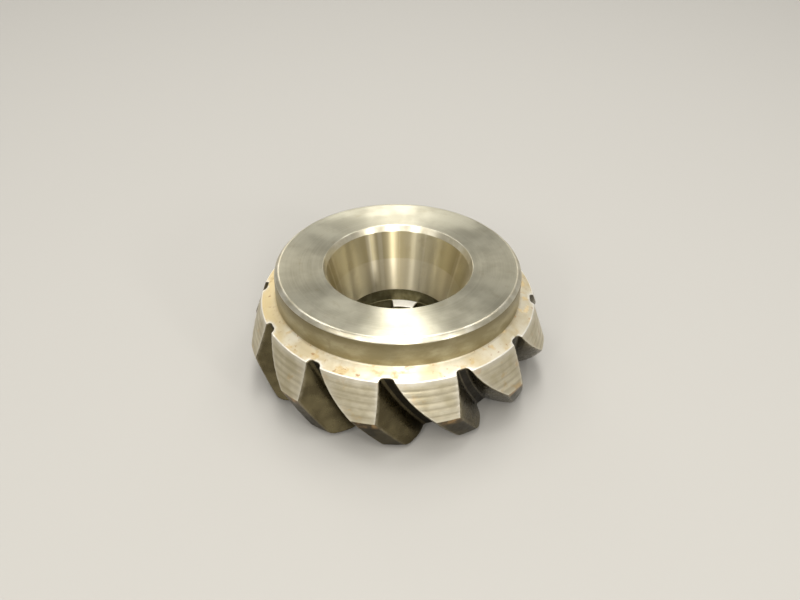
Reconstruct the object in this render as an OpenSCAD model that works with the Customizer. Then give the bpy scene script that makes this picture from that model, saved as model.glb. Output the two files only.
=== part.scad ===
// Spiral bevel pinion, machined from one forging.
// Frame: +Z is the gear axis and points out of the hub. The origin is on the axis, at the
// lowest face, which the shaft nut bears on. All sizes are in millimetres and degrees.
// Depths are measured down from the thrust face at the top of the hub.

/* [Blank] */
// Height of the gear, from the nut face to the thrust face
gear_h = 24; // [23.6:0.1:27]
// Diameter of the plain round hub
hub_d = 50.8; // [48:0.1:52]
// Depth of the foot of the hub wall
hub_depth = 6.1; // [4:0.1:6.6]
// Width of the broken edge around the thrust face
hub_edge = 0.8; // [0.3:0.05:1.2]
// Diameter at the outer edge of the sloping ledge
ledge_d = 57; // [56:0.1:58]
// Depth of the outer edge of the ledge
ledge_depth = 7.4; // [7:0.1:9]
// Outside diameter over the teeth, at the foot of the heel band
outside_d = 62.8; // [61:0.1:64]
// Depth of the foot of the heel band
heel_depth = 15.5; // [14:0.1:17]
// Depth of the toe end of the teeth
toe_depth = 23; // [22:0.1:23.2]
// Angle between the tips of the teeth and the axis
face_angle = 16.4; // [14:0.2:20]
// Diameter of the nut boss below the teeth
boss_d = 43; // [34:0.5:45]

/* [Teeth] */
// Number of teeth
teeth = 12; // [11:1:13]
// Angle between the roots of the teeth and the axis
root_angle = 13.8; // [12:0.2:16]
// Diameter of the root cone where it leaves the ledge
root_d = 55.4; // [54.6:0.1:55.8]
// Width of a tooth space at its root
root_w = 2.3; // [2:0.1:3]
// Radius of the fillets along the root
root_fillet = 0.8; // [0.4:0.1:1]
// Angle of the flanks at the root
flank_angle = 17.9; // [15:0.1:24]
// Swell of the flanks towards the tips, in mm for each square mm of depth
flank_swell = 0.081; // [0.04:0.001:0.085]
// Turn of a tooth space for each mm along its root, positive for a left-hand spiral
spiral_rate = 0.741; // [0.5:0.002:1]
// Growth of that turn along the root, which curves the teeth
spiral_curve = 0.0325; // [0:0.0005:0.04]
// Turn of each flank away from the middle of the space for each mm along the root
space_flare = 0.04; // [0:0.005:0.08]
// Direction of a tooth space at its heel end, from +X
space_start = 266.2; // [0:0.1:360]

/* [Bore] */
// Diameter of the mouth of the bore
mouth_d = 30.8; // [29.6:0.1:32]
// Depth of the chamfer at the mouth
mouth_depth = 1.2; // [0.5:0.1:2]
// Diameter of the big end of the taper, just below the chamfer
taper_big_d = 29.4; // [27:0.1:29.5]
// Diameter of the small end of the taper, and of the short round relief below it
taper_small_d = 22.6; // [22.4:0.1:24]
// Depth of the small end of the taper
taper_depth = 14.5; // [13:0.1:16]
// Depth of the upper ends of the spline teeth
spline_depth = 17.3; // [16.5:0.1:18.5]
// Diameter over the bottoms of the spline grooves
spline_major_d = 22.2; // [20:0.1:22.4]
// Diameter inside the spline teeth
spline_minor_d = 17.2; // [15:0.1:19]
// Number of spline teeth
spline_teeth = 6; // [4:1:8]
// Direction of one spline tooth, from +X
spline_start = 82; // [0:1:360]
// Width of the lead-in chamfer around the bore in the nut face
lead_in = 0.6; // [0.2:0.1:1]

/* [Hidden] */
$fn = 96;
over = 1; // cutters run this far past the faces that they open

hub_r = hub_d / 2;
ledge_r = ledge_d / 2;
toe_z = gear_h - toe_depth;
toe_r = outside_d / 2 - (toe_depth - heel_depth) * tan(face_angle);
toe_edge = 0.4; // broken edge around the toe end of the teeth
boss_edge = 0.4; // broken edge around the nut boss

// The root line of a tooth space: where it leaves the ledge, and how far it runs.
root_r = root_d / 2;
ledge_slope = (ledge_depth - hub_depth) / (ledge_r - hub_r);
root_z = gear_h - hub_depth - (root_r - hub_r) * ledge_slope;
root_len = (root_z - toe_z) / cos(root_angle);
run_in = 2; // the cutter starts this far above the heel end of the root
run_out = 3; // and ends this far beyond the toe end
stations = 10; // steps along the root
cutter_h = 6.8; // height of the cutter above the root, past every tip

// Right-hand half of the space's profile, as [half width, height above the root]: a fillet,
// then a flank that leans further out as it rises.
fillet_steps = 4;
flank_steps = 5;
fillet_top = root_fillet * (1 - sin(flank_angle));
function half_width(h) = root_w / 2 + h * tan(flank_angle) + flank_swell * h * h;
fillet_x = half_width(fillet_top) - root_fillet * cos(flank_angle);
function fillet_point(i) = let (a = -90 + (90 - flank_angle) * i / fillet_steps)
    [fillet_x + root_fillet * cos(a), root_fillet * (1 + sin(a))];
function flank_point(i) = let (h = fillet_top + (cutter_h - fillet_top) * i / flank_steps)
    [half_width(h), h];
half_profile = concat([for (i = [0:fillet_steps]) fillet_point(i)],
                      [for (i = [1:flank_steps]) flank_point(i)]);
half_n = len(half_profile);
ring_n = 2 * half_n;
// Point k of the whole profile, from the left tip through the root to the right tip.
function profile_point(k) = k < half_n
    ? let (p = half_profile[half_n - 1 - k]) [-p[0], p[1]]
    : half_profile[k - half_n];

// The same point on the gear, at distance s along the root line.
function space_point(s, k) =
    let (p = profile_point(k),
         r = root_r - s * sin(root_angle) + p[1] * cos(root_angle),
         z = root_z - s * cos(root_angle) - p[1] * sin(root_angle),
         turn = spiral_rate * s + spiral_curve * s * s + sign(p[0]) * space_flare * s,
         a = turn + p[0] / r * 180 / PI)
    [r * cos(a), r * sin(a), z];

module tooth_space_cutter() {
    step = (root_len + run_in + run_out) / stations;
    points = [for (i = [0:stations], k = [0:ring_n - 1]) space_point(i * step - run_in, k)];
    heel_cap = [for (k = [0:ring_n - 1]) k];
    toe_cap = [for (k = [ring_n - 1:-1:0]) stations * ring_n + k];
    sides = [for (i = [0:stations - 1], k = [0:ring_n - 1])
        let (a = i * ring_n + k, b = i * ring_n + (k + 1) % ring_n)
        each [[a, a + ring_n, b + ring_n], [a, b + ring_n, b]]];
    polyhedron(points, concat([heel_cap, toe_cap], sides), convexity = 6);
}

// The turned blank, before the teeth and the bore are cut.
module blank() {
    rotate_extrude() polygon([
        [0, 0],
        [boss_d / 2 - boss_edge, 0],
        [boss_d / 2, boss_edge],
        [boss_d / 2, toe_z],
        [toe_r - toe_edge, toe_z],
        [toe_r + toe_edge * tan(face_angle), toe_z + toe_edge],
        [outside_d / 2, gear_h - heel_depth],
        [ledge_r, gear_h - ledge_depth],
        [hub_r, gear_h - hub_depth],
        [hub_r, gear_h - hub_edge],
        [hub_r - hub_edge, gear_h],
        [0, gear_h]
    ]);
}

// Everything round in the bore: lead-in, hole inside the spline teeth, relief, taper, mouth.
module bore_turning() {
    minor_r = spline_minor_d / 2;
    rotate_extrude() polygon([
        [0, -over],
        [minor_r + lead_in, -over],
        [minor_r + lead_in, 0],
        [minor_r, lead_in],
        [minor_r, gear_h - spline_depth],
        [taper_small_d / 2, gear_h - spline_depth],
        [taper_small_d / 2, gear_h - taper_depth],
        [taper_big_d / 2, gear_h - mouth_depth],
        [mouth_d / 2, gear_h],
        [mouth_d / 2, gear_h + over],
        [0, gear_h + over]
    ]);
}

// The grooves between the spline teeth: each tooth and each groove takes half of a pitch.
// They run up until they come out in the relief.
module spline_grooves() {
    pitch = 360 / spline_teeth;
    reach = spline_major_d;
    top = gear_h - (taper_depth + spline_depth) / 2;
    for (i = [0:spline_teeth - 1]) rotate(spline_start + (i + 0.5) * pitch)
        intersection() {
            translate([0, 0, -over]) cylinder(d = spline_major_d, h = top + over);
            translate([0, 0, -2 * over]) linear_extrude(height = gear_h) polygon([
                [0, 0],
                [reach, -reach * tan(pitch / 4)],
                [reach, reach * tan(pitch / 4)]
            ]);
        }
}

module pinion_gear() {
    color("gray") difference() {
        blank();
        bore_turning();
        spline_grooves();
        for (i = [0:teeth - 1]) rotate(space_start + i * 360 / teeth) tooth_space_cutter();
    }
}

pinion_gear();
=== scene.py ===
import math

import bmesh
import bpy
import numpy as np
from mathutils import Matrix, Vector


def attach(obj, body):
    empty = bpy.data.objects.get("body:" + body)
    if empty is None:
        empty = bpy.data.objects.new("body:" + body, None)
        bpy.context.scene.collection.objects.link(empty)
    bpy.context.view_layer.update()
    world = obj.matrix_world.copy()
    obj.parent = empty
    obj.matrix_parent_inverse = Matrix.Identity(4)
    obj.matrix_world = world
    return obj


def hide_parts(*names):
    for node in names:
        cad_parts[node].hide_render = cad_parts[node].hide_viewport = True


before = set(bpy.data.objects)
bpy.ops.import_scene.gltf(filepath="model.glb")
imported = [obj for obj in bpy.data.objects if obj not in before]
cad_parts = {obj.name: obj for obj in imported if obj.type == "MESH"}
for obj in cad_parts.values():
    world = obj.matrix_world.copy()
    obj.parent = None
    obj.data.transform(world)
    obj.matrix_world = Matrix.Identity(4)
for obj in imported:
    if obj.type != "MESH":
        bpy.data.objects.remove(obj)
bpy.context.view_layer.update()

MM = 0.001

# ---------------------------------------------------------------- sizes, as in the CAD part
GEAR_H = 24.0
HUB_R = 25.4
HUB_FOOT_Z = GEAR_H - 6.1
HUB_EDGE = 0.8
LEDGE_R = 28.5
LEDGE_Z = GEAR_H - 7.4
HEEL_R = 31.4
HEEL_Z = GEAR_H - 15.5
TOE_Z = 1.0
FACE_ANGLE = math.radians(16.4)     # between the tips of the teeth and the axis
TOE_R = HEEL_R - (HEEL_Z - TOE_Z) * math.tan(FACE_ANGLE)
BOSS_R = 21.5
BOSS_EDGE = 0.4

TEETH = 12
TOOTH_HEIGHT = 5.6                  # height above the root that the colours take as the tip
ROOT_ANGLE = math.radians(13.8)     # between the roots of the teeth and the axis
ROOT_R = 27.7
ROOT_HALF_W = 1.15
ROOT_FILLET = 0.8
FLANK_ANGLE = math.radians(17.9)
FLANK_SWELL = 0.081
SPIRAL_RATE = math.radians(0.741)
SPIRAL_CURVE = math.radians(0.0325)
SPACE_FLARE = math.radians(0.04)
SPACE_START = math.radians(266.2)

MOUTH_R = 15.4
MOUTH_Z = GEAR_H - 1.2
TAPER_BIG_R = 14.7
TAPER_SMALL_R = 11.3
TAPER_END_Z = GEAR_H - 14.5
SPLINE_TOP_Z = GEAR_H - 17.3
SPLINE_MAJOR_R = 11.1
SPLINE_MINOR_R = 8.6
SPLINE_START = math.radians(82.0)
LEAD_IN = 0.6

# ---------------------------------------------------------------- finish of the surfaces
LEDGE_ROUND = 0.22      # rounding where the ledge turns into the heel band
HEEL_ROUND = 0.3        # rounding of the heel corners of the teeth
TOE_ROUND = 0.9         # rounding of the toe corners of the teeth
HEEL_BREAK = 0.14       # broken edge of the flanks at the heel end
TOE_BREAK = 0.34        # broken edge of the flanks at the toe end
FOOT_FILLET = 0.45      # fillet between the hub wall and the ledge
HUB_ROUND = 0.9         # rounding at both sides of the chamfer round the thrust face
RIM_ROUND = 0.12        # rounding at both sides of the other chamfers
TAPER_ROUND = 0.8       # rounding where the taper turns into the relief
BOSS_ROUND = 0.25       # fillet between the nut boss and the toe face
SPLINE_BREAK = 0.14     # broken edge of the spline teeth
SPLINE_END_ROUND = 0.25             # rounding at the inner edge of the ends of the spline teeth
LINES = (1.75, 3.1, 4.55, 5.9, 7.45)    # turned lines, in mm down the heel band
LINE_HALF_W = 0.52
LINE_DEPTH = 0.042
LINE_FADE = 0.3         # how far a turned line reaches into a flank
# A turned line's section, as (share of its half width, share of its depth).
LINE_SHAPE = ((-1, 0), (-0.65, 0.28), (-0.3, 0.84), (0, 1), (0.3, 0.84), (0.65, 0.28), (1, 0))

LAND_STEPS = 15         # steps across the land of a tooth
ROOT_STEPS = 2          # steps across the floor of a tooth space
SECTOR_STEPS = LAND_STEPS + ROOT_STEPS
PITCH = 2 * math.pi / TEETH

SIN_ROOT = math.sin(ROOT_ANGLE)
COS_ROOT = math.cos(ROOT_ANGLE)
LEDGE_SLOPE = (HUB_FOOT_Z - LEDGE_Z) / (LEDGE_R - HUB_R)
ROOT_Z = HUB_FOOT_Z - (ROOT_R - HUB_R) * LEDGE_SLOPE
ROOT_LEN = (ROOT_Z - TOE_Z) / COS_ROOT
# Height above the root line that the ledge gains for each mm outward.
LEDGE_RISE = COS_ROOT + LEDGE_SLOPE * SIN_ROOT


# ---------------------------------------------------------------- plane curves
def rounded(points, radii, steps):
    """The path through points, as (r, z), with each inner corner rounded to its radius."""
    path = [np.array(points[0], float)]
    for before, corner, after, radius in zip(points, points[1:], points[2:], radii):
        corner = np.array(corner, float)
        a = np.array(before, float) - corner
        b = np.array(after, float) - corner
        a /= np.linalg.norm(a)
        b /= np.linalg.norm(b)
        half = math.acos(np.clip(a @ b, -1, 1)) / 2
        centre = corner + (a + b) / np.linalg.norm(a + b) * radius / math.sin(half)
        start = corner + a * radius / math.tan(half) - centre
        end = corner + b * radius / math.tan(half) - centre
        sweep = math.atan2(start[0] * end[1] - start[1] * end[0], start @ end)
        for i in range(steps + 1):
            t = sweep * i / steps
            turn = np.array([[math.cos(t), -math.sin(t)], [math.sin(t), math.cos(t)]])
            path.append(centre + turn @ start)
    path.append(np.array(points[-1], float))
    return np.array(path)


def lengths(path):
    """How far along the path each of its points is."""
    steps = np.linalg.norm(np.diff(path, axis=0), axis=1)
    return np.concatenate([[0], np.cumsum(steps)])


def along(path, distances):
    """The points at those distances along a path."""
    total = lengths(path)
    return np.stack([np.interp(distances, total, path[:, k]) for k in (0, 1)], axis=1)


def distance_to(path, points):
    """The distance of each of points from a path."""
    a, b = path[:-1], path[1:]
    d = b - a
    flat = points.reshape(-1, 1, 2)
    t = np.clip(((flat - a) * d).sum(-1) / (d * d).sum(-1), 0, 1)
    near = a + t[..., None] * d
    return np.linalg.norm(flat - near, axis=-1).min(axis=1).reshape(points.shape[:-1])


# ---------------------------------------------------------------- one tooth, seen in a plane
def to_root(rz):
    """(r, z) as (distance along the root line, height above it)."""
    dr, dz = rz[..., 0] - ROOT_R, rz[..., 1] - ROOT_Z
    return np.stack([-dr * SIN_ROOT - dz * COS_ROOT, dr * COS_ROOT - dz * SIN_ROOT], axis=-1)


def from_root(sh):
    """(distance along the root line, height above it) as (r, z)."""
    s, h = sh[..., 0], sh[..., 1]
    return np.stack([ROOT_R - s * SIN_ROOT + h * COS_ROOT,
                     ROOT_Z - s * COS_ROOT - h * SIN_ROOT], axis=-1)


def half_width(h):
    return ROOT_HALF_W + h * math.tan(FLANK_ANGLE) + FLANK_SWELL * h * h


FILLET_STEPS = 4
FILLET_TOP = ROOT_FILLET * (1 - math.sin(FLANK_ANGLE))
FILLET_X = half_width(FILLET_TOP) - ROOT_FILLET * math.cos(FLANK_ANGLE)
FILLET_ANGLES = np.linspace(-math.pi / 2, -FLANK_ANGLE, FILLET_STEPS + 1)
FILLET_H = ROOT_FILLET * (1 + np.sin(FILLET_ANGLES))
FILLET_W = FILLET_X + ROOT_FILLET * np.cos(FILLET_ANGLES)


def heel_side():
    """The heel side of a tooth from the root to the middle of the heel corner, as (r, z), and
    how deep the turned lines are at each point."""
    down = np.array([HEEL_R - LEDGE_R, HEEL_Z - LEDGE_Z])
    down /= np.linalg.norm(down)
    fillet_r = ROOT_R + FILLET_H / LEDGE_RISE
    fillet = [(r, HUB_FOOT_Z - (r - HUB_R) * LEDGE_SLOPE) for r in fillet_r]
    tip = (HEEL_R - 3 * math.tan(FACE_ANGLE), HEEL_Z - 3)
    path = rounded([fillet[-1], (LEDGE_R, LEDGE_Z), (HEEL_R, HEEL_Z), tip],
                   [LEDGE_ROUND, HEEL_ROUND], 6)
    ledge_arc, heel_arc = path[1:8], path[8:15]
    lines, depths = [], []
    for centre in LINES:
        for offset, depth in LINE_SHAPE:
            lines.append(np.array([LEDGE_R, LEDGE_Z]) + down * (centre + offset * LINE_HALF_W))
            depths.append(depth * LINE_DEPTH)
    parts = [fillet, ledge_arc[::2], lines, heel_arc[:4]]
    points = np.array([p for part in parts for p in part])
    before = len(fillet) + len(ledge_arc[::2])
    depth = np.concatenate([np.zeros(before), depths, np.zeros(4)])
    return points, depth, heel_arc[3:]


def toe_side(heel):
    """The toe side of a tooth, from the root to the middle of the toe corner, with a point
    for each one of the heel side."""
    fillet = np.array([(ROOT_R - ROOT_LEN * SIN_ROOT + h / COS_ROOT, TOE_Z) for h in FILLET_H])
    tip = (TOE_R + 3 * math.tan(FACE_ANGLE), TOE_Z + 3)
    path = rounded([fillet[-1], (TOE_R, TOE_Z), tip], [TOE_ROUND], 12)
    toe_arc = path[1:14]
    half = np.concatenate([path[:1], toe_arc[:7]])
    share = lengths(heel[FILLET_STEPS:])
    share = share / share[-1] * lengths(half)[-1]
    return np.concatenate([fillet[:-1], along(half, share)]), toe_arc[6:]


def tip_side(heel_arc, toe_arc):
    """The tip of a tooth, from the middle of the heel corner to the middle of the toe corner."""
    middle = np.linspace(0, 1, 16)[1:-1, None]
    line = heel_arc[-1] * (1 - middle) + toe_arc[-1] * middle
    return np.concatenate([heel_arc, line, toe_arc[::-1]])


def root_side(count, heel_steps, toe_steps):
    """The root line, with a point for each one of the tip."""
    heel = np.array([0.0, 0.06, 0.16, 0.34])[:heel_steps]
    toe = np.array([0.0, 0.1, 0.26, 0.5])[:toe_steps]
    middle = np.linspace(0, 1, count - len(heel) - len(toe) + 2)[1:-1]
    inner = heel[-1] + (ROOT_LEN - toe[-1] - heel[-1]) * middle
    s = np.concatenate([heel, inner, ROOT_LEN - toe[::-1]])
    return from_root(np.stack([s, 0 * s], axis=1))


def filled(bottom, top, left, right):
    """A grid of points between four paths: [along the root][from root to tip]."""
    def shares(path):
        total = lengths(path)
        return total / total[-1]
    low, high = shares(bottom)[:, None], shares(top)[:, None]
    near, far = shares(left)[None, :], shares(right)[None, :]
    u = low + (high - low) * (near + far) / 2
    v = near + (far - near) * u
    u, v = u[..., None], v[..., None]
    across = (1 - v) * bottom[:, None] + v * top[:, None]
    lengthwise = (1 - u) * left[None, :] + u * right[None, :]
    corners = ((1 - u) * (1 - v) * bottom[0] + u * (1 - v) * bottom[-1]
               + (1 - u) * v * top[0] + u * v * top[-1])
    return across + lengthwise - corners


class Tooth:
    """One side of a tooth as a grid in the plane through the axis: where its points are, how
    far the flank has turned there, and how near they are to an edge."""

    def __init__(self):
        heel, line_depth, heel_arc = heel_side()
        toe, toe_arc = toe_side(heel)
        tip = tip_side(heel_arc, toe_arc)
        root = root_side(len(tip), 4, 4)
        grid = filled(root, tip, heel, toe)
        border = np.concatenate([heel, tip[1:-1], toe[::-1]])
        gap = distance_to(border, grid)
        gap[0, :] = gap[-1, :] = gap[:, -1] = 0
        sh = to_root(grid)
        run = np.clip(sh[..., 0] / ROOT_LEN, 0, 1)
        edge = HEEL_BREAK + (TOE_BREAK - HEEL_BREAK) * run ** 1.5
        near = np.clip(1 - gap / edge, 0, 1)
        self.line = line_depth / LINE_DEPTH
        self.break_ = edge * (1 - np.sqrt(1 - near ** 2))
        self.near_edge = near
        self.run = run
        self.sh = self.opened_floor(sh)
        self.rz = self.lined(from_root(self.sh), gap, line_depth)
        self.height = np.clip(sh[..., 1] / TOOTH_HEIGHT, 0, 1)

    def opened_floor(self, sh):
        """Lowers the floor and the fillets at both ends, so that their edges are broken too."""
        sh = sh.copy()
        for j, angle in enumerate(np.linspace(-math.pi / 2, 0, FILLET_STEPS + 1)):
            drop = self.break_[:, j] * math.sin(angle)
            slope = np.where(self.run[:, j] < 0.5,
                             (LEDGE_SLOPE * COS_ROOT - SIN_ROOT) / LEDGE_RISE,
                             -SIN_ROOT / COS_ROOT)
            sh[:, j, 0] += slope * drop
            sh[:, j, 1] += drop
        return sh

    @staticmethod
    def lined(rz, gap, line_depth):
        """Presses the turned lines into the heel side."""
        inward = np.array([HEEL_Z - LEDGE_Z, LEDGE_R - HEEL_R])
        inward /= np.linalg.norm(inward)
        fade = np.clip(1 - gap / LINE_FADE, 0, 1) * np.linspace(1, 0, gap.shape[0])[:, None] ** 2
        return rz + (line_depth[None, :] * fade)[..., None] * inward

    def turn(self):
        """How far the right-hand flank is turned, and then the left-hand one."""
        s, h = self.sh[..., 0], self.sh[..., 1]
        width = half_width(h)
        opening = self.break_.copy()
        for j in range(FILLET_STEPS + 1):
            width[:, j] = FILLET_W[j]
            opening[:, j] *= math.cos(math.pi / 2 * (1 - j / FILLET_STEPS))
        middle = SPACE_START + SPIRAL_RATE * s + SPIRAL_CURVE * s * s
        side = SPACE_FLARE * s + (width + opening) / self.rz[..., 0]
        return middle + side, middle - side


# ---------------------------------------------------------------- the whole gear as one mesh
SURFACES = ("thrust_face", "chamfer", "hub_wall", "ledge", "heel_band", "tooth_land", "toe_end",
            "flank", "root_floor", "taper", "relief", "spline", "spline_end", "underside")


class Mesh:
    """Grids of points, gathered into one closed mesh."""

    def __init__(self):
        self.points = []
        self.faces = []
        self.kinds = []
        self.marks = []
        self.count = 0

    def add(self, r, z, angle, kind, edge=0.0, height=1.0, line=0.0):
        """Adds a grid of points given by radius, height and direction. kind names a surface,
        for all of it or for each row. edge is 1 on a worn edge, and on the ledge's rounding where
        it carries a painted highlight, and 0 away from it, height goes from 0 at a root to 1 at a
        tip, and line is 1 in a turned line."""
        r, z, angle, edge, height, line = np.broadcast_arrays(r, z, angle, edge, height, line)
        rows, columns = r.shape
        xyz = np.stack([r * np.cos(angle), r * np.sin(angle), z], axis=-1) * MM
        self.points.append(xyz.reshape(-1, 3))
        self.marks.append(np.stack([edge, height, line], axis=-1).reshape(-1, 3))
        index = np.arange(rows * columns).reshape(rows, columns) + self.count
        quads = np.stack([index[:-1, :-1], index[1:, :-1], index[1:, 1:], index[:-1, 1:]], axis=-1)
        self.faces.append(quads.reshape(-1, 4))
        names = [kind] * (rows - 1) if isinstance(kind, str) else list(kind)
        numbers = np.array([SURFACES.index(n) for n in names])
        self.kinds.append(np.repeat(numbers, columns - 1))
        self.count += rows * columns

    def build(self, name):
        mesh = bpy.data.meshes.new(name)
        points = np.concatenate(self.points)
        marks = np.concatenate(self.marks)
        mesh.from_pydata(points.tolist(), [], np.concatenate(self.faces).tolist())
        mesh.polygons.foreach_set("material_index", np.concatenate(self.kinds).astype(np.int32))
        for k, label in enumerate(("edge_wear_and_painted_highlight", "tooth_height", "turned_line")):
            attribute = mesh.attributes.new(label, "FLOAT", "POINT")
            attribute.data.foreach_set("value", marks[:, k].astype(np.float32))
        bm = bmesh.new()
        bm.from_mesh(mesh)
        bmesh.ops.remove_doubles(bm, verts=bm.verts, dist=0.0012 * MM)
        bmesh.ops.dissolve_degenerate(bm, edges=bm.edges, dist=0.0005 * MM)
        bmesh.ops.recalc_face_normals(bm, faces=bm.faces)
        bm.to_mesh(mesh)
        bm.free()
        return mesh


def smooth_by_area(mesh):
    """Smooth shading in which each point takes the lean of its larger faces, so that the flat
    and conical surfaces stay even right up to their rounded edges."""
    count = len(mesh.vertices)
    corners = len(mesh.loops)
    vertex = np.zeros(corners, np.int32)
    mesh.loops.foreach_get("vertex_index", vertex)
    faces = len(mesh.polygons)
    normal = np.zeros(faces * 3)
    area = np.zeros(faces)
    sizes = np.zeros(faces, np.int32)
    mesh.polygons.foreach_get("normal", normal)
    mesh.polygons.foreach_get("area", area)
    mesh.polygons.foreach_get("loop_total", sizes)
    lean = np.repeat(normal.reshape(-1, 3) * area[:, None], sizes, axis=0)
    total = np.zeros((count, 3))
    for k in range(3):
        total[:, k] = np.bincount(vertex, lean[:, k], minlength=count)
    total /= np.maximum(np.linalg.norm(total, axis=1, keepdims=True), 1e-20)
    mesh.polygons.foreach_set("use_smooth", np.ones(faces, bool))
    mesh.normals_split_custom_set_from_vertices(total.tolist())


def between(a, b, steps):
    """Evenly spaced values from a to b, for arrays a and b."""
    t = np.linspace(0, 1, steps + 1)
    return np.asarray(a)[..., None] * (1 - t) + np.asarray(b)[..., None] * t


def row_kinds(z, names_below):
    """A surface name for each step of a path, by the height of the step's middle."""
    middle = (z[1:] + z[:-1]) / 2
    return [next(name for limit, name in names_below if m > limit) for m in middle]


def add_teeth(gear, tooth):
    """The spaces and lands of all teeth. Returns the directions of the points on the circles
    where they meet the ledge and the toe face."""
    right, left = tooth.turn()
    r, z = tooth.rz[..., 0], tooth.rz[..., 1]
    heel_kinds = row_kinds(z[0], [(LEDGE_Z - 0.1, "ledge"), (-1, "heel_band")])
    edge = tooth.near_edge ** 0.5
    wear_and_painted_light = np.zeros(len(z[0]))        # 1 where the ledge turns into the heel band: a painted highlight along that rounding
    wear_and_painted_light[FILLET_STEPS + 1:FILLET_STEPS + 5] = 1
    for i in range(TEETH):
        a = right + i * PITCH
        b = left + i * PITCH
        nearby = left + (i + 1) * PITCH
        gear.add(r, z, a, "flank", edge, tooth.height)
        gear.add(r, z, b, "flank", edge, tooth.height)
        gear.add(r[:, :1], z[:, :1], between(b[:, 0], a[:, 0], ROOT_STEPS), "root_floor",
                 edge[:, :1], 0.0)
        wear = np.abs(np.linspace(-1, 1, LAND_STEPS + 1)) ** 8
        gear.add(r[0][:, None], z[0][:, None], between(a[0], nearby[0], LAND_STEPS), heel_kinds,
                 np.maximum(wear, wear_and_painted_light[:, None]), 1.0, tooth.line[:, None])
        gear.add(r[:, -1:], z[:, -1:], between(a[:, -1], nearby[:, -1], LAND_STEPS),
                 "tooth_land", wear)
        gear.add(r[-1][:, None], z[-1][:, None], between(a[-1], nearby[-1], LAND_STEPS),
                 "toe_end", wear)
    circles = []
    for row in (0, -1):
        sector = np.concatenate([
            between(left[row, 0], right[row, 0], ROOT_STEPS)[:-1],
            between(right[row, 0], left[row, 0] + PITCH, LAND_STEPS)[:-1],
        ])
        circles.append(np.concatenate([sector + i * PITCH for i in range(TEETH)]))
    return circles


def spline_circle():
    """Directions on a full circle in the bore, with a point at each side of a spline tooth."""
    start = SPLINE_START - PITCH / 2
    return start + np.arange(TEETH * SECTOR_STEPS) * PITCH / SECTOR_STEPS


def matched(circle, other):
    """other, counted from the point nearest the start of circle, and turned to run beside it."""
    full = 2 * math.pi
    offset = np.mod(other - circle[0] + math.pi, full) - math.pi
    first = int(np.argmin(np.abs(offset)))
    rolled = np.roll(other, -first)
    rolled = circle[0] + np.mod(rolled - circle[0] + math.pi, full) - math.pi
    return np.unwrap(rolled)


def add_rings(gear, path, kinds, start, end=None, edge=None):
    """Full turns along a path of (r, z), whose points drift from one circle's to another's."""
    end = start if end is None else end
    share = lengths(path) / lengths(path)[-1]
    share = share * share * (3 - 2 * share)
    angle = start * (1 - share[:, None]) + end * share[:, None]
    angle = np.concatenate([angle, angle[:, :1] + 2 * math.pi], axis=1)
    wear = 0.0 if edge is None else np.asarray(edge)[:, None]
    gear.add(path[:, :1], path[:, 1:], angle, kinds, wear)


def turned_path(start):
    """The turned surfaces from a tooth's root over the hub and down the bore, to where the
    spline begins."""
    return rounded(
        [start, (HUB_R, HUB_FOOT_Z), (HUB_R, GEAR_H - HUB_EDGE), (HUB_R - HUB_EDGE, GEAR_H),
         (MOUTH_R, GEAR_H), (TAPER_BIG_R, MOUTH_Z), (TAPER_SMALL_R, TAPER_END_Z),
         (TAPER_SMALL_R, SPLINE_TOP_Z), (SPLINE_MAJOR_R, SPLINE_TOP_Z)],
        [FOOT_FILLET, HUB_ROUND, HUB_ROUND, 2 * RIM_ROUND, RIM_ROUND, TAPER_ROUND, RIM_ROUND], 6)


def split_long(path, longest):
    """The path with its long steps cut into shorter ones."""
    points = [path[0]]
    for a, b in zip(path, path[1:]):
        cuts = max(1, int(math.ceil(np.linalg.norm(b - a) / longest)))
        points += [a + (b - a) * (k + 1) / cuts for k in range(cuts)]
    return np.array(points)


def surface_above(r, z):
    """Which turned surface a point between the ledge and the spline belongs to."""
    if z < TAPER_END_Z + 0.02:
        return "relief"
    if r < MOUTH_R - 0.05 and z < MOUTH_Z + 0.02:
        return "taper"
    if r < MOUTH_R + 0.05:
        return "chamfer"
    if z > GEAR_H - 0.004:
        return "thrust_face"
    if z > GEAR_H - HUB_EDGE - 0.05:
        return "chamfer"
    if z > HUB_FOOT_Z + FOOT_FILLET * 0.5 and r < HUB_R + FOOT_FILLET * 0.5:
        return "hub_wall"
    return "ledge"


def add_top(gear, circle, start):
    """Ledge, hub wall, thrust face, mouth, taper and relief."""
    path = split_long(turned_path(start), 0.9)
    middles = (path[1:] + path[:-1]) / 2
    kinds = [surface_above(r, z) for r, z in middles]
    flat = np.abs(path[:, 1] - GEAR_H) < 1e-9
    first, last = np.flatnonzero(flat)[[0, -1]]
    bore = matched(circle, spline_circle())
    add_rings(gear, path[:first + 1], kinds[:first], circle)
    add_rings(gear, path[first:last + 1], kinds[first:last], circle, bore)
    add_rings(gear, path[last:], kinds[last:], bore)


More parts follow.
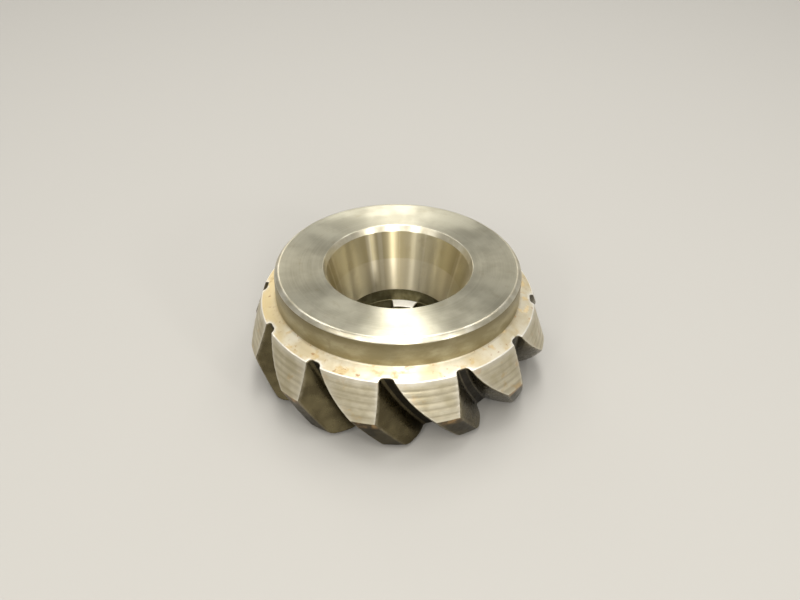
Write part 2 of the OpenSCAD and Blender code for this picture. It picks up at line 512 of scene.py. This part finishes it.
def add_bore(gear):
    """Spline teeth, and the grooves between them."""
    tooth = rounded(
        [(SPLINE_MAJOR_R, SPLINE_TOP_Z), (SPLINE_MINOR_R, SPLINE_TOP_Z),
         (SPLINE_MINOR_R, LEAD_IN), (SPLINE_MINOR_R + LEAD_IN, 0)],
        [SPLINE_END_ROUND, RIM_ROUND], 4)
    tooth = split_long(tooth, 0.7)
    r, z = tooth[:, 0], tooth[:, 1]
    kinds = [surface_in_bore(a, b) for a, b in (tooth[1:] + tooth[:-1]) / 2]
    share = lengths(tooth) / lengths(tooth)[-1]
    groove_height = np.interp(share, [0, 0.27, 0.93, 1],
                              [SPLINE_TOP_Z, SPLINE_TOP_Z - 1.5, LEAD_IN, 0])
    groove = np.stack([np.full_like(r, SPLINE_MAJOR_R), groove_height], axis=1)
    steps = np.array([0, 0.08, 0.2, 0.45, 0.75, 1.0])
    side = tooth[:, None] * (1 - steps[:, None]) + groove[:, None] * steps[:, None]
    gap = distance_to(tooth, side)
    gap[:, 0] = 0
    begun = np.clip(np.linalg.norm(side - tooth[0], axis=-1) / 0.5, 0, 1)
    near = np.clip(1 - gap / SPLINE_BREAK, 0, 1)
    shrink = SPLINE_BREAK * (1 - np.sqrt(1 - near ** 2)) * begun * np.linspace(1, 0, 6) ** 0.5
    shrink = shrink / side[..., 0]
    for k in range(TEETH):
        low = SPLINE_START - PITCH / 2 + k * PITCH
        high = low + PITCH
        if k % 2 == 0:
            gear.add(side[..., 0], side[..., 1], low + shrink, "spline", near ** 0.5, 0.0)
            gear.add(side[..., 0], side[..., 1], high - shrink, "spline", near ** 0.5, 0.0)
            gear.add(r[:, None], z[:, None],
                     between(low + shrink[:, 0], high - shrink[:, 0], SECTOR_STEPS), kinds)
            foot = side[-1]
            gear.add(foot[:, :1], foot[:, 1:],
                     between(low + shrink[-1], high - shrink[-1], SECTOR_STEPS), "underside")
        else:
            gear.add(groove[:, :1], groove[:, 1:],
                     between(np.full(len(r), low), np.full(len(r), high), SECTOR_STEPS),
                     "spline", 0.0, 0.0)


def surface_in_bore(r, z):
    if r > SPLINE_MINOR_R + 0.1 and z > SPLINE_TOP_Z - 0.1:
        return "spline_end"
    return "spline"


def add_underside(gear, circle, end):
    """The nut face, the boss, and the toe face out to the roots of the teeth."""
    path = rounded(
        [(SPLINE_MAJOR_R, 0), (BOSS_R - BOSS_EDGE, 0), (BOSS_R, BOSS_EDGE), (BOSS_R, TOE_Z),
         tuple(end)],
        [RIM_ROUND, RIM_ROUND, BOSS_ROUND], 4)
    path = split_long(path, 1.6)
    add_rings(gear, path, "underside", spline_circle(), matched(spline_circle(), circle))


def pinion_mesh():
    gear = Mesh()
    tooth = Tooth()
    heel_circle, toe_circle = add_teeth(gear, tooth)
    add_top(gear, heel_circle, tuple(tooth.rz[0, 0]))
    add_bore(gear)
    add_underside(gear, toe_circle, tooth.rz[-1, 0])
    mesh = gear.build("pinion_gear_surface")
    smooth_by_area(mesh)
    return mesh


# ---------------------------------------------------------------- materials
class Steel:
    """A procedural steel. Its patterns are in millimetres on the gear, and most of them run
    round its axis, as the marks of turning and grinding do."""

    def __init__(self, name, metallic=1.0, anisotropic=0.0):
        self.material = bpy.data.materials.new(name)
        self.material.use_nodes = True
        self.tree = self.material.node_tree
        self.shader = self.tree.nodes["Principled BSDF"]
        self.set("Metallic", metallic)
        self.set("Anisotropic", anisotropic)
        self.set("Anisotropic Rotation", 0.25)
        place = self.node("ShaderNodeTexCoord").outputs["Object"]
        self.place = self.vector("SCALE", place, 1000.0)
        parts = self.node("ShaderNodeSeparateXYZ", Vector=self.place).outputs
        self.x, self.y, self.z = parts[0], parts[1], parts[2]
        square = self.math("ADD", self.math("MULTIPLY", self.x, self.x),
                           self.math("MULTIPLY", self.y, self.y))
        self.r = self.math("SQRT", square)
        self.bump_output = None
        if anisotropic:
            tangent = self.node("ShaderNodeTangent")
            tangent.direction_type = "RADIAL"
            tangent.axis = "Z"
            self.link(tangent.outputs[0], self.shader.inputs["Tangent"])

    def link(self, source, target):
        self.tree.links.new(source, target)

    def set(self, name, value):
        """Sets one of the shader's sockets, or links a pattern to it."""
        socket = self.shader.inputs[name]
        if isinstance(value, bpy.types.NodeSocket):
            self.link(value, socket)
        else:
            socket.default_value = value

    def node(self, kind, **inputs):
        node = self.tree.nodes.new(kind)
        for name, value in inputs.items():
            self.feed(node.inputs[name.replace("_", " ")], value)
        return node

    def feed(self, socket, value):
        if isinstance(value, bpy.types.NodeSocket):
            self.link(value, socket)
        else:
            socket.default_value = value

    def math(self, operation, a, b=0.0, clamp=False):
        node = self.tree.nodes.new("ShaderNodeMath")
        node.operation = operation
        node.use_clamp = clamp
        self.feed(node.inputs[0], a)
        self.feed(node.inputs[1], b)
        return node.outputs[0]

    def vector(self, operation, a, scale):
        node = self.tree.nodes.new("ShaderNodeVectorMath")
        node.operation = operation
        self.feed(node.inputs[0], a)
        node.inputs["Scale"].default_value = scale
        return node.outputs[0]

    def attribute(self, name):
        node = self.tree.nodes.new("ShaderNodeAttribute")
        node.attribute_name = name
        return node.outputs["Fac"]

    def range(self, value, low, high, to_low=0.0, to_high=1.0):
        """value, from low to high, spread smoothly over to_low to to_high and held beyond."""
        node = self.tree.nodes.new("ShaderNodeMapRange")
        node.interpolation_type = "SMOOTHSTEP"
        self.feed(node.inputs["Value"], value)
        for name, number in (("From Min", low), ("From Max", high), ("To Min", to_low),
                             ("To Max", to_high)):
            self.feed(node.inputs[name], number)
        return node.outputs["Result"]

    def mix(self, share, a, b):
        """Colour a where share is 0, and b where it is 1."""
        node = self.tree.nodes.new("ShaderNodeMix")
        node.data_type = "RGBA"
        self.feed(node.inputs["Factor"], share)
        self.feed(node.inputs["A"], a if isinstance(a, bpy.types.NodeSocket) else (*a, 1))
        self.feed(node.inputs["B"], b if isinstance(b, bpy.types.NodeSocket) else (*b, 1))
        return node.outputs["Result"]

    def spots(self, size, detail=3.0, seed=0.0, rough=0.55):
        """Cloudy noise whose patches are about size mm across."""
        shift = self.tree.nodes.new("ShaderNodeVectorMath")
        shift.operation = "ADD"
        self.feed(shift.inputs[0], self.place)
        shift.inputs[1].default_value = (seed * 17.3, seed * -9.1, seed * 5.7)
        node = self.node("ShaderNodeTexNoise", Vector=shift.outputs[0], Scale=1 / size,
                         Detail=detail, Roughness=rough)
        return node.outputs["Fac"]

    def stretched(self, around, radial, along, detail=2.0, seed=0.0, rough=0.6):
        """Noise in polar form: how many patches there are round the gear, and for each mm
        outward and each mm up the axis."""
        direction = self.node("ShaderNodeCombineXYZ",
                              X=self.math("DIVIDE", self.x, self.r),
                              Y=self.math("DIVIDE", self.y, self.r)).outputs[0]
        direction = self.vector("SCALE", direction, around / (2 * math.pi))
        parts = self.node("ShaderNodeSeparateXYZ", Vector=direction).outputs
        depth = self.math("ADD", self.math("MULTIPLY", self.r, radial),
                          self.math("MULTIPLY", self.z, along))
        depth = self.math("ADD", depth, seed * 31.7)
        place = self.node("ShaderNodeCombineXYZ", X=parts[0], Y=parts[1], Z=depth).outputs[0]
        node = self.node("ShaderNodeTexNoise", Vector=place, Scale=1.0, Detail=detail,
                         Roughness=rough)
        return node.outputs["Fac"]

    def bump(self, height, depth):
        """Raises the surface by height, from 0 to 1, times depth in mm."""
        node = self.node("ShaderNodeBump", Strength=1.0, Distance=depth * MM, Height=height)
        if self.bump_output is not None:
            self.link(self.bump_output, node.inputs["Normal"])
        self.bump_output = node.outputs["Normal"]
        self.link(self.bump_output, self.shader.inputs["Normal"])


def thrust_face_steel():
    """Finely turned, with a soft mottled bloom."""
    m = Steel("thrust_face_steel", anisotropic=0.88)
    lines = m.stretched(3, 9.0, 0, detail=3)
    bloom = m.spots(7, detail=4)
    smear = m.spots(2.2, detail=5, seed=2)
    colour = m.mix(m.range(bloom, 0.38, 0.66), (0.45, 0.425, 0.32), (0.575, 0.55, 0.43))
    colour = m.mix(m.range(smear, 0.55, 0.75, 0, 0.35), colour, (0.40, 0.34, 0.21))
    colour = m.mix(m.range(lines, 0.35, 0.7, 0, 0.25), colour, (0.69, 0.665, 0.55))
    rough = m.range(m.math("ADD", m.math("MULTIPLY", lines, 0.4), bloom), 0.45, 0.95, 0.28, 0.39)
    m.set("Base Color", colour)
    m.set("Roughness", rough)
    m.bump(lines, 0.0022)
    m.bump(m.spots(0.5, detail=4, seed=5), 0.004)
    return m.material


def chamfer_steel():
    m = Steel("chamfer_steel", anisotropic=0.5)
    lines = m.stretched(4, 7.0, 7.0)
    m.set("Base Color", m.mix(m.range(m.spots(3), 0.35, 0.7), (0.60, 0.555, 0.42),
                              (0.78, 0.745, 0.62)))
    m.set("Roughness", m.range(lines, 0.3, 0.7, 0.28, 0.37))
    m.bump(lines, 0.002)
    return m.material


def hub_wall_steel():
    """Turned, and dulled by old oil, with darker smears, and painted shade in a dark band under
    the rim.
    """
    m = Steel("hub_wall_steel", anisotropic=0.5)
    lines = m.stretched(3, 0, 8.0, detail=3)
    smear = m.stretched(26, 0, 0.35, detail=4, seed=1)
    colour = m.mix(m.range(smear, 0.35, 0.68), (0.32, 0.275, 0.155), (0.47, 0.42, 0.27))
    colour = m.mix(m.range(m.spots(1.6, detail=5, seed=3), 0.55, 0.72, 0, 0.45), colour,
                   (0.30, 0.245, 0.14))
    # Painted shade: a dark brown band, broken up by noise, darker towards the top of the wall
    # under the rim.
    film_and_painted_shade = m.math("MULTIPLY", m.range(m.z, GEAR_H - 3.6, GEAR_H - 0.9, 0.0, 0.75),
                  m.range(m.spots(6, detail=4, seed=9), 0.3, 0.6, 0.6, 1.0))
    colour = m.mix(film_and_painted_shade, colour, (0.20, 0.165, 0.088))
    m.set("Base Color", colour)
    m.set("Roughness", m.range(m.math("ADD", lines, smear), 0.7, 1.3, 0.32, 0.46))
    m.bump(lines, 0.005)
    m.bump(m.spots(0.7, detail=4, seed=4), 0.006)
    return m.material


def ledge_steel():
    """Bright from the tool, with tan stains and small rust spots, a painted golden highlight on
    its left side and a painted white highlight along its rounded outer edge.
    """
    m = Steel("ledge_steel", anisotropic=0.35)
    lines = m.stretched(3, 6.0, 2.0)
    colour = m.mix(m.range(m.spots(5, detail=3), 0.35, 0.65), (0.65, 0.56, 0.37),
                   (0.77, 0.715, 0.57))
    # Painted highlight: the left side of the ledge turns bright gold.
    colour = m.mix(m.range(m.x, -27.5, -20.0, 0.75, 0.0), colour, (0.88, 0.72, 0.39))
    stain = m.range(m.spots(2.4, detail=4, seed=7), 0.53, 0.68, 0, 0.8)
    colour = m.mix(stain, colour, (0.62, 0.475, 0.24))
    rust = m.range(m.spots(1.2, detail=4, seed=9), 0.61, 0.72, 0, 0.8)
    colour = m.mix(rust, colour, (0.40, 0.22, 0.08))
    # Edge wear, and a painted white highlight along the ledge's rounded outer edge.
    colour = m.mix(m.math("MULTIPLY", m.attribute("edge_wear_and_painted_highlight"), 0.85), colour,
                   (0.96, 0.94, 0.88))
    m.set("Base Color", colour)
    film_and_painted_shade = m.math("MAXIMUM", rust, m.math("MULTIPLY", stain, 0.8))
    m.set("Metallic", m.range(film_and_painted_shade, 0, 1, 1.0, 0.35))
    m.set("Roughness", m.math("ADD", m.range(lines, 0.3, 0.7, 0.46, 0.58),
                              m.math("MULTIPLY", film_and_painted_shade, 0.3), clamp=True))
    m.bump(lines, 0.005)
    m.bump(m.spots(0.5, detail=4, seed=4), 0.006)
    return m.material


def heel_band_steel():
    """Coarsely turned: darker in the turned lines, and tan stains lie across them."""
    m = Steel("heel_band_steel", anisotropic=0.3)
    lines = m.stretched(4, 1.5, 6.0, detail=3)
    colour = m.mix(m.range(m.spots(4, detail=3, seed=1), 0.36, 0.66), (0.52, 0.47, 0.33),
                   (0.66, 0.61, 0.47))
    colour = m.mix(m.range(lines, 0.5, 0.75, 0, 0.4), colour, (0.42, 0.36, 0.25))
    broad = m.stretched(3, 0, 1.6, detail=3, seed=5)
    colour = m.mix(m.range(broad, 0.45, 0.7, 0, 0.35), colour, (0.40, 0.345, 0.235))
    stain = m.range(m.spots(3.2, detail=4, seed=12), 0.57, 0.72, 0, 0.7)
    colour = m.mix(stain, colour, (0.55, 0.40, 0.20))
    # Darker in the turned lines, varied by a noise that runs along them.
    turned_line_darkening = m.math("MULTIPLY", m.attribute("turned_line"),
                  m.range(m.stretched(16, 0, 0.6, seed=3), 0.3, 0.7, 0.22, 0.46))
    colour = m.mix(turned_line_darkening, colour, (0.33, 0.28, 0.18))
    # Edge wear, and a painted highlight along the rounding at the top of the heel band.
    colour = m.mix(m.math("MULTIPLY", m.attribute("edge_wear_and_painted_highlight"), 0.5), colour,
                   (0.80, 0.77, 0.70))
    m.set("Base Color", colour)
    m.set("Roughness", m.range(m.spots(1.5, detail=4, seed=2), 0.3, 0.7, 0.34, 0.48))
    m.bump(lines, 0.012)
    m.bump(m.spots(0.4, detail=3, seed=6), 0.008)
    return m.material


def tooth_steel(name, light, dark, rough, streak=False):
    """Ground teeth under a coat of old oil, worn bright along their edges, with painted shade that
    grows darker towards their roots and at the toe.
    """
    m = Steel(name)
    grind = m.stretched(60, 2.5, 0.6, detail=3, seed=2)
    film_and_painted_shade = m.spots(4.5, detail=2, seed=3)
    colour = m.mix(m.range(film_and_painted_shade, 0.36, 0.66), dark, light)
    colour = m.mix(m.range(grind, 0.55, 0.8, 0, 0.3), colour, light)
    # Painted shade: darker towards the root of each tooth space.
    colour = m.mix(m.range(m.attribute("tooth_height"), 0.0, 0.45, 0.55, 0.0), colour,
                   tuple(0.45 * c for c in dark))
    if streak:
        near = m.math("SUBTRACT", 1.0, m.range(m.z, HEEL_Z - 2.0, HEEL_Z - 0.6, 1.0, 0.0))
        warm = m.math("MULTIPLY", near, m.range(m.spots(2.4, seed=8), 0.4, 0.6, 0.1, 0.75))
        colour = m.mix(warm, colour, (0.50, 0.31, 0.13))
    # Worn edges, fading towards the toe as painted shade at the bottom of the teeth.
    wear_and_painted_light = m.math("MULTIPLY", m.range(m.spots(1.2, seed=5), 0.3, 0.6, 0.2, 0.7),
                    m.range(m.z, 3.0, 11.0, 0.25, 1.0))
    edge = m.math("MULTIPLY", m.attribute("edge_wear_and_painted_highlight"), wear_and_painted_light)
    colour = m.mix(edge, colour, (0.36, 0.32, 0.23))
    m.set("Base Color", colour)
    m.set("Roughness", m.range(m.spots(1.1, detail=4, seed=1), 0.3, 0.7, rough - 0.06,
                               rough + 0.08))
    m.bump(grind, 0.004)
    m.bump(m.spots(0.9, detail=2, seed=6), 0.006)
    return m.material


def taper_steel():
    """A ground cone, scored lengthwise where the shaft was pressed in and drawn off, with painted
    reflections as light and dark stripes and bright streaks round it.
    """
    m = Steel("taper_steel", anisotropic=0.95)
    rings = m.stretched(3, 0, 3.0, detail=2)
    scores_and_painted_streaks = m.stretched(54, 0, 0.01, detail=1, seed=4, rough=0.5)
    painted_reflection_bands = m.stretched(16, 0, 0.01, detail=1, seed=6)
    # Painted reflection: light and dark stripes round the cone.
    colour = m.mix(m.range(painted_reflection_bands, 0.35, 0.65), (0.45, 0.395, 0.25), (0.62, 0.57, 0.41))
    # Painted reflection: bright lengthwise streaks; the same pattern also sets the roughness.
    colour = m.mix(m.range(scores_and_painted_streaks, 0.56, 0.7, 0, 0.4), colour, (0.84, 0.80, 0.68))
    colour = m.mix(m.range(m.spots(2.5, detail=4, seed=3), 0.52, 0.7, 0, 0.35), colour,
                   (0.44, 0.37, 0.22))
    contact = m.range(m.z, GEAR_H - 7.5, GEAR_H - 7.1, 0.16, 0.0)
    colour = m.mix(contact, colour, (0.92, 0.90, 0.85))
    m.set("Base Color", colour)
    m.set("Roughness", m.range(scores_and_painted_streaks, 0.3, 0.75, 0.36, 0.29))
    m.bump(rings, 0.0015)
    return m.material


def bore_steel(name, light, dark, rough, metallic=1.0):
    """Steel in the bore: painted dark as shade for the relief and the spline, and near white as a
    painted highlight for the ends of the spline teeth.
    """
    m = Steel(name, metallic)
    broach = m.stretched(90, 0, 0.05, detail=3, seed=4)
    colour = m.mix(m.range(m.spots(1.8, detail=4, seed=2), 0.35, 0.65), dark, light)
    colour = m.mix(m.range(broach, 0.5, 0.8, 0, 0.4), colour, light)
    colour = m.mix(m.math("MULTIPLY", m.attribute("edge_wear_and_painted_highlight"), 0.6), colour,
                   (0.66, 0.62, 0.50))
    m.set("Base Color", colour)
    m.set("Roughness", m.range(m.spots(0.8, detail=4), 0.3, 0.7, rough - 0.06, rough + 0.08))
    m.bump(broach, 0.006)
    return m.material


def underside_steel():
    m = Steel("underside_steel", anisotropic=0.4)
    lines = m.stretched(3, 5.0, 3.0, detail=3)
    colour = m.mix(m.range(m.spots(4, detail=4, seed=1), 0.35, 0.65), (0.40, 0.37, 0.29),
                   (0.55, 0.52, 0.45))
    colour = m.mix(m.range(m.spots(1.3, detail=5, seed=11), 0.62, 0.74, 0, 0.6), colour,
                   (0.26, 0.17, 0.09))
    m.set("Base Color", colour)
    m.set("Roughness", m.range(lines, 0.3, 0.7, 0.34, 0.5))
    m.bump(lines, 0.008)
    return m.material


def gear_materials():
    """One material for each name in SURFACES, in its order."""
    made = {
        "thrust_face": thrust_face_steel(),
        "chamfer": chamfer_steel(),
        "hub_wall": hub_wall_steel(),
        "ledge": ledge_steel(),
        "heel_band": heel_band_steel(),
        # The tooth steels are painted shade: far darker than the turned steel above them because
        # the teeth face down, with the lands and root floors darker still.
        "tooth_land": tooth_steel("tooth_land_steel", (0.085, 0.071, 0.040), (0.042, 0.035, 0.021),
                                  0.34, streak=True),
        "toe_end": tooth_steel("toe_end_steel", (0.13, 0.11, 0.07), (0.07, 0.06, 0.04), 0.42),
        "flank": tooth_steel("flank_steel", (0.16, 0.134, 0.072), (0.095, 0.078, 0.042), 0.30),
        "root_floor": tooth_steel("root_floor_steel", (0.05, 0.043, 0.026), (0.03, 0.025, 0.016),
                                  0.46),
        "taper": taper_steel(),
        # Painted shade: the relief and the spline are coloured dark, deep in the bore.
        "relief": bore_steel("relief_steel", (0.19, 0.172, 0.098), (0.12, 0.108, 0.056), 0.4),
        "spline": bore_steel("spline_steel", (0.20, 0.18, 0.10), (0.12, 0.105, 0.055), 0.4),
        # Painted highlight: the ends of the spline teeth are near white and only a quarter
        # metallic.
        "spline_end": bore_steel("spline_end_steel", (0.95, 0.93, 0.88), (0.88, 0.86, 0.8),
                                 0.5, metallic=0.25),
        "underside": underside_steel(),
    }
    return [made[name] for name in SURFACES]


def make_pinion():
    mesh = pinion_mesh()
    for material in gear_materials():
        mesh.materials.append(material)
    pinion = bpy.data.objects.new("pinion", mesh)
    bpy.context.scene.collection.objects.link(pinion)
    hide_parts("pinion_gear")
    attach(pinion, "root")
    return pinion


# ---------------------------------------------------------------- floor, light and camera
FLOOR_HALF = 3.0
WARM = (1.0, 0.95, 0.86)
WHITE = (1.0, 0.98, 0.95)
GEAR_MIDDLE = (0, 0, 0.012)


def make_floor():
    material = bpy.data.materials.new("floor_pale")
    material.use_nodes = True
    shader = material.node_tree.nodes["Principled BSDF"]
    shader.inputs["Base Color"].default_value = (0.42, 0.41, 0.385, 1)
    shader.inputs["Roughness"].default_value = 0.8
    mesh = bpy.data.meshes.new("floor")
    corners = [(-FLOOR_HALF, -FLOOR_HALF, 0), (FLOOR_HALF, -FLOOR_HALF, 0),
               (FLOOR_HALF, FLOOR_HALF, 0), (-FLOOR_HALF, FLOOR_HALF, 0)]
    mesh.from_pydata(corners, [], [(0, 1, 2, 3)])
    mesh.materials.append(material)
    floor = bpy.data.objects.new("floor", mesh)
    bpy.context.scene.collection.objects.link(floor)


def area_light(name, place, target, size, power, colour=(1, 1, 1)):
    light = bpy.data.lights.new(name, "AREA")
    light.shape = "RECTANGLE"
    light.size, light.size_y = size
    light.energy = power
    light.color = colour
    lamp = bpy.data.objects.new(name, light)
    lamp.location = place
    aim = Vector(target) - Vector(place)
    lamp.rotation_euler = aim.to_track_quat("-Z", "Y").to_euler()
    bpy.context.scene.collection.objects.link(lamp)


def make_light():
    world = bpy.data.worlds.new("studio")
    bpy.context.scene.world = world
    world.use_nodes = True
    background = world.node_tree.nodes["Background"]
    background.inputs["Color"].default_value = (1.0, 0.98, 0.94, 1)
    background.inputs["Strength"].default_value = 0.42
    area_light("overhead_strip", (0.012, 0.02, 0.5), (0.012, 0.02, 0), (0.11, 0.8), 2.1, WHITE)
    area_light("zenith", (0.0, 0.0, 0.55), GEAR_MIDDLE, (0.07, 0.07), 0.12, WHITE)
    area_light("upper_left", (-0.26, 0.18, 0.51), GEAR_MIDDLE, (0.15, 0.15), 0.32, WHITE)
    area_light("upper_right", (0.26, 0.18, 0.51), GEAR_MIDDLE, (0.15, 0.15), 0.27, WHITE)
    area_light("rear_left", (-0.43, 0.85, 0.44), GEAR_MIDDLE, (0.3, 0.55), 0.8, WARM)
    area_light("rear_right", (0.43, 0.85, 0.44), GEAR_MIDDLE, (0.3, 0.55), 0.4, WARM)
    area_light("front_overhead", (0.0, -0.4, 0.52), GEAR_MIDDLE, (1.0, 0.3), 1.2, WARM)
    area_light("front_strip", (0.12, -0.7, 0.36), GEAR_MIDDLE, (0.06, 0.3), 1.6, WHITE)
    area_light("front_panel", (-0.1, -0.75, 0.32), GEAR_MIDDLE, (1.3, 0.35), 0.3, WARM)
    area_light("left_panel", (-0.5, -0.35, 0.42), GEAR_MIDDLE, (0.2, 0.3), 0.3, WARM)
    area_light("right_panel", (0.5, -0.35, 0.42), GEAR_MIDDLE, (0.2, 0.3), 0.2, WARM)
    area_light("right_lamp", (0.52, -0.52, 0.32), GEAR_MIDDLE, (0.03, 0.12), 0.8, WHITE)
    area_light("left_lamp", (-0.31, -0.6, 0.43), GEAR_MIDDLE, (0.05, 0.12), 0.7, WHITE)
    bpy.context.scene.view_settings.view_transform = "Standard"


CAMERA_PLACE = (0.000487, -0.1455258, 0.121039)
CAMERA_TILT = math.radians(53.85)
CAMERA_ROLL = math.radians(0.58)
SENSOR_WIDTH = 36
FOCAL_LENGTH = 38.25


def make_camera():
    data = bpy.data.cameras.new("camera")
    data.sensor_width = SENSOR_WIDTH
    data.lens = FOCAL_LENGTH
    data.clip_start = 0.01
    camera = bpy.data.objects.new("camera", data)
    camera.matrix_world = (Matrix.Translation(CAMERA_PLACE) @ Matrix.Rotation(CAMERA_TILT, 4, "X")
                           @ Matrix.Rotation(CAMERA_ROLL, 4, "Z"))
    bpy.context.scene.collection.objects.link(camera)
    bpy.context.scene.camera = camera


make_camera()
make_pinion()
make_floor()
make_light()
